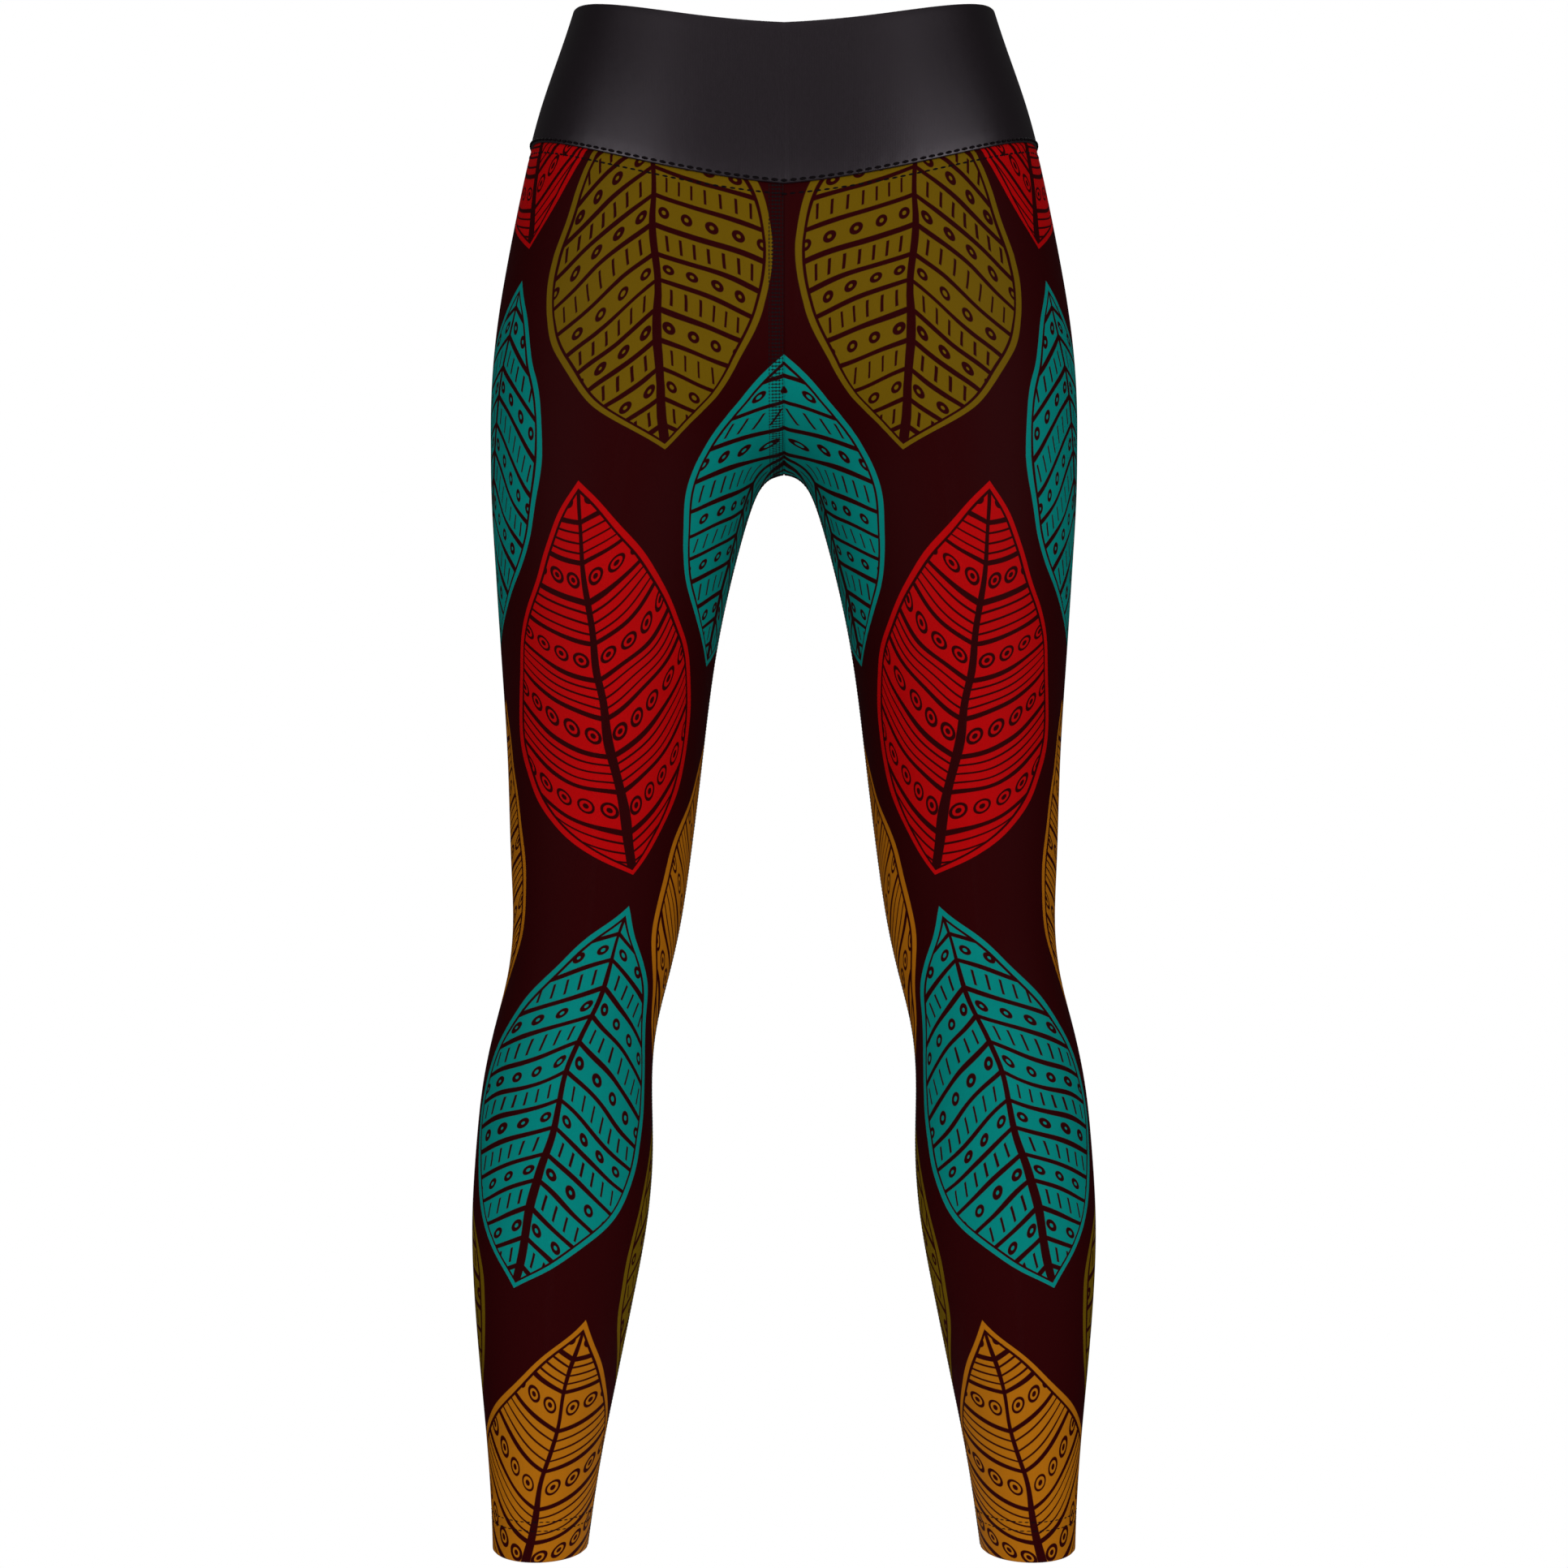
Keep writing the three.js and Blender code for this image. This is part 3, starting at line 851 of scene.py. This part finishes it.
def leg_heights(share):
    """Heights of the grid's rows for every column, and how many rows are loops."""
    outward = np.sin(np.pi * share) ** 2

    def spread(t):
        return t**CROWDING * (1 - outward) + t * outward

    fold = [0, 0.35, 0.9, 2, 5, 9, 13, 16.5, 18.3, 19.5, 20.7, 22.2, 23.8, 25, 26.2, 27.6, 30]
    levels = HEM + np.concatenate([fold, np.arange(35, MID_THIGH - HEM, CALF_PITCH)])
    rows = [np.full_like(share, z) for z in levels]
    rows += [CROTCH - (CROTCH - MID_THIGH) * spread(t) for t in np.linspace(1, 0, THIGH_ROWS)]
    top = waist_line(BAND_SEAM, lambda z: share)
    near_top = [0.985, 0.992, 0.997, 1]
    climb = np.concatenate([np.linspace(0, 0.975, SEAT_ROWS)[1:], near_top])
    rows += [CROTCH + (top - CROTCH) * spread(t) for t in climb]
    return np.array(rows), len(levels) + THIGH_ROWS


def leg_grid():
    share = leg_shares()
    heights, loops = leg_heights(share)
    rows = cloth_point(np.broadcast_to(share, heights.shape), heights)
    rows[loops - 1 :, [0, -1], 0] = TOUCHING
    return rows, loops


def press_leg(rows, normals):
    """The cloth's outer face, with what the sewing presses in."""
    below_band = rows[-1:, :, 2] - rows[..., 2]
    depth = side_grooves(rows, "leg_seam", "leg_pucker", below_band - 3)
    depth += groove(below_band, "leg_top") + groove(below_band - FINE_ROW, "fine_row")
    above_hem = rows[..., 2] - HEM
    depth += groove(above_hem, "hem_fold")
    for height in HEM_STITCHES:
        depth += groove(above_hem - height, "hem_row")
    return rows - normals * np.minimum(depth, 0.7 * CLOTH)[..., None]


def print_map_of(rows):
    """The flat panel's map: round the leg from the line down its front, and up it."""
    along = along_rows(rows)
    oval = section(rows[..., 2])
    off_line = rows[..., 0] - oval["centre"]
    beyond = np.where(rows[..., 1] < oval["axis"], np.abs(off_line), np.inf)
    nearest = np.argmin(beyond, axis=1)[:, None]
    start, reach = (np.take_along_axis(a, nearest, axis=1) for a in (along, off_line))
    return np.stack([along - start + reach, rows[..., 2]], axis=-1)


leg_rows, leg_loops = leg_grid()
leg_normals = grid_normals(leg_rows, leg_loops)
leg_outer = press_leg(leg_rows, leg_normals)
turned = np.clip((HEM_DEPTH + 0.6 - (leg_rows[..., 2] - HEM)) / 1.2, 0, 1)
leg_wall = CLOTH + (HEM_CLOTH - CLOTH) * turned
leg_inner = leg_rows - leg_normals * leg_wall[..., None]
leg_map = print_map_of(leg_rows)
leg_make = ([leg_outer, leg_inner], leg_loops, leg_map, printed_jersey, jersey_reverse)
leg_left = cloth_wall("leg_left_cloth", *leg_make)
leg_right = cloth_wall("leg_right_cloth", *leg_make, side=-1)
girth = along_rows(leg_rows)[:, -1]
print("leg girth in mm: hem", round(girth[0]), "top of thigh", round(girth[leg_loops - 1]))

# %% [markdown]
# The waistband
#
# The waistband is cut double and folded, so its top edge is a soft round fold and it stands a
# little proud of the legs. A front and a back piece meet at the sides. Its grid runs from one
# side seam across the middle to the other.

# %% Waistband
BAND_CLOTH = 2.4
BAND_PROUD = 0.8
BAND_ACROSS, BAND_UP = 132, 20
FOLD_TURNS = (30, 60, 90, 120, 150)  # degrees of the layers that round the fold


def band_grid(front):
    even = np.linspace(-1, 1, BAND_ACROSS - 3)
    ends = np.array([0.994, 0.998])
    beside_middle = np.array([0.003, 0.008, 0.0115])
    u = np.concatenate([[-1], -ends, even[1:-1], ends, [1], -beside_middle, beside_middle])
    u = np.sort(u) if front else -np.sort(u)

    def share_at(z):
        side = side_share(u * 0 + z)
        return np.abs(u) * side if front else 1 - np.abs(u) * (1 - side)

    low = waist_line(BAND_SEAM, share_at) + 0.05
    high = waist_line(BAND_TOP, share_at)
    climb = np.concatenate([[0, 0.006, 0.014, 0.03], np.linspace(0.06, 1, BAND_UP)])
    rows = []
    for t in climb:
        z = low + (high - low) * t
        point = cloth_point(share_at(z), z)
        point[np.abs(u) < TINY, 0] = 0
        point[:, 0] *= np.where(u < 0, -1, 1)
        rows.append(point)
    return np.array(rows)


def band_layers(rows, front):
    """The waistband's outer face, the layers that round its fold, and its inner face."""
    normals = grid_normals(rows, 0)
    above_seam = rows[..., 2] - rows[:1, :, 2]
    depth = side_grooves(rows, "band_side", "band_pucker", above_seam - 5)
    depth += groove(above_seam, "band_edge") + groove(above_seam - 2, "bold_row")
    if front:
        depth += groove(rows[..., 0], "front_line")
    layers = [rows + normals * (BAND_PROUD - depth)[..., None]]
    for turn in np.radians(FOLD_TURNS):
        layer = rows + normals * (BAND_PROUD - BAND_CLOTH / 2 * (1 - math.cos(turn)))
        layer[..., 2] += BAND_CLOTH / 2 * math.sin(turn)
        layers.append(layer)
    return layers + [rows + normals * (BAND_PROUD - BAND_CLOTH)]


def make_band(name, front):
    rows = band_grid(front)
    along = along_rows(rows)
    middle = along[:, along.shape[1] // 2][:, None]
    band_map = np.stack([along - middle, rows[..., 2]], axis=-1)
    layers = band_layers(rows, front)
    return cloth_wall(name, layers, 0, band_map, black_jersey, black_jersey), rows


band_front, band_front_rows = make_band("waistband_front_cloth", True)
band_back, band_back_rows = make_band("waistband_back_cloth", False)

# %% [markdown]
# Paths for the sewing
#
# Every row of stitches follows a path on the cloth. A path is a thin mesh of edges, and each
# of its points carries the direction in which the cloth faces there, so that the stitches
# can lie flat on it.

# %% Paths on the cloth
WAIST_POINTS, HEM_POINTS = 240, 160
RISE_STRAIGHT, RISE_ROUND = 40, 120  # points of the rise's upright parts and of its turn
SEAT_HUB = (4.0, -195.0)  # y and z of the point that the turn goes round


def facing(points):
    """Outward directions at points on the body, from how fast the body's edge falls away."""
    step = 0.25

    def outside(shift_x, shift_y, shift_z):
        z = points[:, 2] + shift_z
        return outside_body(section(z), points[:, 0] + shift_x, points[:, 1] + shift_y)

    shifts = np.eye(3) * step
    slope = np.stack([outside(*shift) - outside(*-shift) for shift in shifts], axis=-1)
    return slope / np.linalg.norm(slope, axis=-1, keepdims=True)


def add_path(name, points, closed, lift, side=1, inside=False):
    """An object of edges through the points, lifted off the body, with the way that the cloth
    faces there. A path on the inside is lifted inwards."""
    outward = facing(points) * (-1 if inside else 1)
    points = (points + outward * lift) * (side * MM, MM, MM)
    count = len(points)
    edges = [(i, i + 1) for i in range(count - 1)] + ([(count - 1, 0)] if closed else [])
    mesh = bpy.data.meshes.new(name)
    mesh.from_pydata(points.tolist(), edges, [])
    attribute = mesh.attributes.new("outward", "FLOAT_VECTOR", "POINT")
    attribute.data.foreach_set("vector", (outward * (side, 1, 1)).ravel())
    return add_object(name, mesh)


def waist_path(above_seam):
    """All round the waist, at a height over the seam between the waistband and the legs."""
    share = np.linspace(0, 1, WAIST_POINTS)
    z = waist_line(BAND_SEAM, lambda z: share) + above_seam
    half = cloth_point(share, z)
    other = half[::-1] * (-1, 1, 1)
    return np.concatenate([half, other[1:-1]])


def hem_path(above_hem):
    share = np.linspace(0, 1, HEM_POINTS)
    return cloth_point(share, np.full_like(share, HEM + above_hem))[:-1]


def rise_path(off_middle):
    """Down the middle of the front, under the crotch and up the back, beside the seam."""
    hub_y, hub_z = SEAT_HUB
    upright, still = RISE_STRAIGHT, np.full(RISE_ROUND, hub_z)
    front, rear = SEAM_ENDS - 1
    down, up = np.linspace(front, hub_z, upright), np.linspace(hub_z, rear, upright)
    z0 = np.concatenate([down, still, up])
    half_turn = np.linspace(0, np.pi, RISE_ROUND)
    turn = np.concatenate([np.zeros(upright), half_turn, np.full(upright, np.pi)])
    x = np.full_like(turn, off_middle)
    go_y, go_z = -np.cos(turn), -np.sin(turn)

    def outside(d):
        z = z0 + go_z * d
        return outside_body(section(z), x, hub_y + go_y * d)

    far = crossing(outside, 1, 200)
    return np.stack([x, hub_y + go_y * far, z0 + go_z * far], axis=-1)


def inseam_path(behind_seam):
    """Up the inside of a leg, a little behind the inseam."""
    rows = leg_rows[3:leg_loops]
    points = []
    for row, lengths in zip(rows, along_rows(rows)):
        place = lengths[-1] - behind_seam
        points.append([np.interp(place, lengths, row[:, i]) for i in range(3)])
    return np.array(points)


# %% [markdown]
# Stitches with Geometry Nodes
#
# A row of stitches is one small soft bar laid along a path at an even pitch, which is just what
# Geometry Nodes are for. One tree lays a plain row. Another lays a flat seam: each step is a rung
# of thread across the seam with short needle threads over it, and together they make the net
# that covers a flat-locked edge. The cloth curves under that net, so its points are then settled
# onto the cloth.

# %% Trees of nodes
COUNT, MATERIAL = "NodeSocketInt", "NodeSocketMaterial"


def new_tree(name, **sizes):
    """A tree that takes a path, sizes in metres and a thread, and gives a shape."""
    shape = ("Geometry", "NodeSocketGeometry")
    inputs = [shape, *sizes.items(), ("Thread", MATERIAL)]
    return new_group(name, [given + (None,) for given in inputs], [shape], "GeometryNodeTree")


def first(tree, kind, values={}, **settings):
    """Add a node and give its first output."""
    return add_node(tree, kind, values, **settings).outputs[0]


def times(tree, socket, share):
    return first(tree, "ShaderNodeMath", {0: socket, 1: share}, operation="MULTIPLY")


def bar(tree, long, wide, high):
    """A soft bar of thread along x."""
    ball = first(tree, "GeometryNodeMeshUVSphere", {"Segments": 6, "Rings": 4, "Radius": 1.0})
    size = first(tree, "ShaderNodeCombineXYZ", {"X": long, "Y": wide, "Z": high})
    lying = {"Geometry": ball, "Rotation": (0, math.pi / 2, 0)}
    turned = first(tree, "GeometryNodeTransform", lying)
    return first(tree, "GeometryNodeTransform", {"Geometry": turned, "Scale": size})


def lay_along(tree, given, instance, end):
    """Lay an instance along the path at its pitch, facing as the cloth does, and finish."""
    curve = first(tree, "GeometryNodeMeshToCurve", {"Mesh": given["Geometry"]})
    steps = {"Curve": curve, "Length": given["Pitch"]}
    even = first(tree, "GeometryNodeResampleCurve", steps, mode="LENGTH")
    stored = "GeometryNodeInputNamedAttribute"
    outward = first(tree, stored, {"Name": "outward"}, data_type="FLOAT_VECTOR")
    tangent = first(tree, "GeometryNodeInputTangent")
    axes = {"Primary Axis": tangent, "Secondary Axis": outward}
    turn = first(tree, "FunctionNodeAxesToRotation", axes, primary_axis="X", secondary_axis="Z")
    places = {"Points": even, "Instance": instance, "Rotation": turn}
    laid = first(tree, "GeometryNodeInstanceOnPoints", places)
    real = first(tree, "GeometryNodeRealizeInstances", {"Geometry": laid})
    smooth = first(tree, "GeometryNodeSetShadeSmooth", {"Geometry": real})
    finish = {"Geometry": smooth, "Material": given["Thread"]}
    connect(end, {"Geometry": first(tree, "GeometryNodeSetMaterial", finish)})


# %% The two trees
BATCH = 4000
NEARLY = 0.95  # share of the way to the cloth that a settling step goes


def make_stitch_row():
    sizes = dict(Pitch=NUMBER, Length=NUMBER, Thickness=NUMBER)
    tree, given, end = new_tree("stitch_row", **sizes)
    half = times(tree, given["Thickness"], 0.5)
    stitch = bar(tree, times(tree, given["Length"], 0.5), half, times(tree, half, 0.8))
    lay_along(tree, given, stitch, end)
    return tree


def make_flat_seam():
    sizes = dict(Pitch=NUMBER, Width=NUMBER, Needles=COUNT, Thickness=NUMBER)
    tree, given, end = new_tree("flat_seam", **sizes)
    half = times(tree, given["Thickness"], 0.5)
    flat = times(tree, half, 0.7)
    needle = bar(tree, times(tree, given["Pitch"], 0.46), half, flat)
    edge = times(tree, given["Width"], 0.5)
    low = first(tree, "ShaderNodeCombineXYZ", {"Y": times(tree, edge, -1)})
    high = first(tree, "ShaderNodeCombineXYZ", {"Y": edge})
    line = {"Count": given["Needles"], "Start Location": low, "Offset": high}
    places = first(tree, "GeometryNodeMeshLine", line, mode="END_POINTS")
    spread = {"Points": places, "Instance": needle}
    needles = first(tree, "GeometryNodeInstanceOnPoints", spread)
    step = add_node(tree, "GeometryNodeJoinGeometry", {0: needles})
    connect(step, {0: bar(tree, half, edge, flat)})
    lay_along(tree, given, step.outputs[0], end)
    return tree


stitch_row, flat_seam = make_stitch_row(), make_flat_seam()
print("nodes in the two trees:", len(stitch_row.nodes), len(flat_seam.nodes))


def sew(path, tree, thread, **sizes):
    """Run a tree on a path and keep the result as a plain mesh. Sizes are in millimetres."""
    modifier = path.modifiers.new("sewing", "NODES")
    modifier.node_group = tree
    for item in tree.interface.items_tree:
        value = sizes.get(item.name.lower())
        if item.socket_type == MATERIAL:
            modifier[item.identifier] = thread
        elif value is not None:
            modifier[item.identifier] = value if item.socket_type == COUNT else value * MM
    bpy.context.view_layer.update()
    depsgraph = bpy.context.evaluated_depsgraph_get()
    mesh = bpy.data.meshes.new_from_object(path.evaluated_get(depsgraph))
    path.modifiers.clear()
    path.data = mesh
    mesh.name = path.name
    print(path.name, len(mesh.polygons), "faces")
    return path


def settle(seam, points, side, in_groove=False):
    """Press a flat seam onto the curved cloth: each point keeps the height it has over the
    path, now measured from the cloth under it. Batches keep the memory small."""
    outward = facing(points)
    flat = np.empty(len(seam.data.vertices) * 3)
    seam.data.vertices.foreach_get("co", flat)
    places = flat.reshape(-1, 3) / MM * (side, 1, 1)
    heights = []
    for start in range(0, len(places), BATCH):
        part = places[start : start + BATCH]
        away = np.linalg.norm(part[:, None] - points[None], axis=-1)
        near = np.argmin(away, axis=1)
        heights.extend(np.sum((part - points[near]) * outward[near], axis=1))
    for _ in range(3):
        off = outside_body(section(places[:, 2]), places[:, 0], places[:, 1])
        valley = groove(places[:, 0], "rise") if in_groove else 0
        places -= facing(places) * (off + valley - heights)[:, None] * NEARLY
    seam.data.vertices.foreach_set("co", (places * (side * MM, MM, MM)).ravel())
    seam.data.update()
    return seam


# %% [markdown]
# The rows
#
# A bold row holds the waistband's lower edge and a fine row lies under it. Inside, the edges of
# that seam are bound with a net of loops. The rise seam is covered by a flat seam on one side of
# the middle, which runs down the front, under the crotch and up the back, and another runs up
# each inseam. Two rows hold each hem.

# %% Sew the rows
FLAT_SEAM_OFF = 4.7  # from the seam to the middle of the flat seam
bold = dict(pitch=5.5, length=4.1, thickness=1.9)
fine = dict(pitch=5.0, length=3.6, thickness=1.3)
hem = dict(pitch=4.0, length=2.8, thickness=0.7)
flat = dict(pitch=2.2, width=7.8, needles=5, thickness=0.7)
bound = dict(pitch=2.5, width=5.5, needles=3, thickness=0.9)

path = add_path("stitches_waist_bold", waist_path(1.6), True, BAND_PROUD + 0.15)
sewing = [sew(path, stitch_row, black_thread, **bold)]
path = add_path("stitches_waist_fine", waist_path(-FINE_ROW), True, -0.3)
sewing.append(sew(path, stitch_row, black_thread, **fine))
inner_face = BAND_CLOTH - BAND_PROUD
path = add_path("overlock_waist", waist_path(3.5), True, inner_face, inside=True)
sewing.append(sew(path, flat_seam, black_thread, **bound))
points = rise_path(FLAT_SEAM_OFF)
path = add_path("seam_rise", points, False, -0.05, -1)
sewing.append(settle(sew(path, flat_seam, seam_thread, **flat), points, -1, in_groove=True))
points = inseam_path(FLAT_SEAM_OFF)
for word, side in (("left", 1), ("right", -1)):
    path = add_path(f"seam_inseam_{word}", points, False, -0.1, side)
    sewing.append(settle(sew(path, flat_seam, seam_thread, **flat), points, side))
    for row, height in zip(("upper", "lower"), HEM_STITCHES[::-1]):
        path = add_path(f"stitches_hem_{word}_{row}", hem_path(height), True, -0.15, side)
        sewing.append(sew(path, stitch_row, black_thread, **hem))

# %% [markdown]
# Register the pieces
#
# Every piece rides on the part's one body, and each cloth replaces the solid that it dresses.

# %% Attach the cloth
LEG_STRETCH, BAND_STRETCH = 1.1, 1.08
CLOTHS = (
    # piece, node, slot, rows of its grid, how far it is drawn out
    (leg_left, "leg_left", "printed_knit", leg_rows, LEG_STRETCH),
    (leg_right, "leg_right", "printed_knit", leg_rows, LEG_STRETCH),
    (band_front, "waistband_front", "black_knit", band_front_rows, BAND_STRETCH),
    (band_back, "waistband_back", "black_knit", band_back_rows, BAND_STRETCH),
)
for piece, name, slot, _, _ in CLOTHS:
    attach(piece, "root")
    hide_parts(name)
for piece in sewing:
    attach(piece, "root")
print(len(CLOTHS), "cloths and", len(sewing), "rows of sewing")

# %% [markdown]
# The cut
#
# The cloth was cut smaller than it is worn. A leg's panel is as wide as the top of the thigh and
# reaches from hem to waist seam. It is drawn out by a tenth, and the waistband's pieces less.

def area_of(piece):
    """Half of a closed wall's surface, in square metres."""
    return sum(face.area for face in piece.data.polygons) / 2


def cut_of(rows, stretch):
    """Width and length of the flat piece in metres."""
    return along_rows(rows)[:, -1].max() * MM / stretch, np.ptp(rows[..., 2]) * MM


for piece, _, _, rows, stretch in CLOTHS:
    flat_size = cut_of(rows, stretch)
    area_of(piece) / stretch
    print(piece.name, "cut in mm:", [round(size / MM) for size in flat_size])
